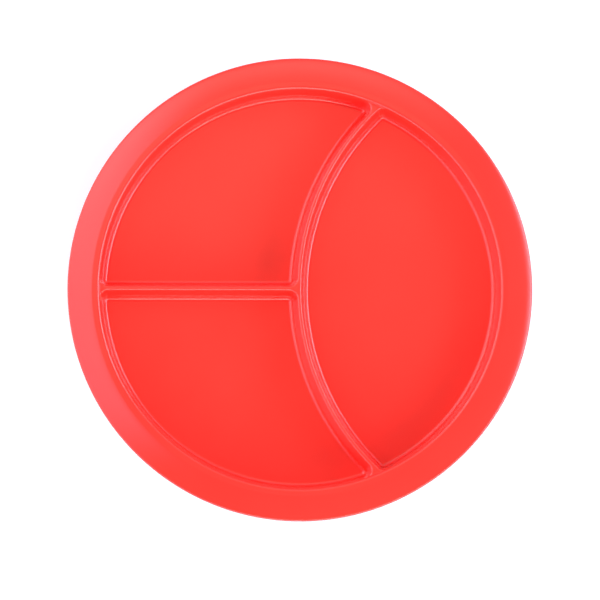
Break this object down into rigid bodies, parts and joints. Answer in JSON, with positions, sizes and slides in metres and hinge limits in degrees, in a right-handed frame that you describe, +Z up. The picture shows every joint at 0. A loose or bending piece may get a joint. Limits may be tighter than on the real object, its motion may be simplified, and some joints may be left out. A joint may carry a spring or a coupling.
{
  "type": "divided compartment plate",
  "caption": "Round plate with a low sloping rim, whose deep well is split into compartments by a straight divider and a curved divider.",
  "frame": {"origin": "on the table, under the plate's centre, in the plane of the foot ring's flat face", "axes": "+Z up out of the compartments; -X from the centre along the straight divider; +X across the lens-shaped compartment; +Y to the plate's back; the XZ plane is the plate's plane of symmetry"},
  "size_m": [0.254, 0.254, 0.024],
  "materials": {
    "plate": "smooth glossy moulding, coloured through, coral red"
  },
  "bodies": {
    "root": {"plate": "plate"}
  },
  "joints": []
}
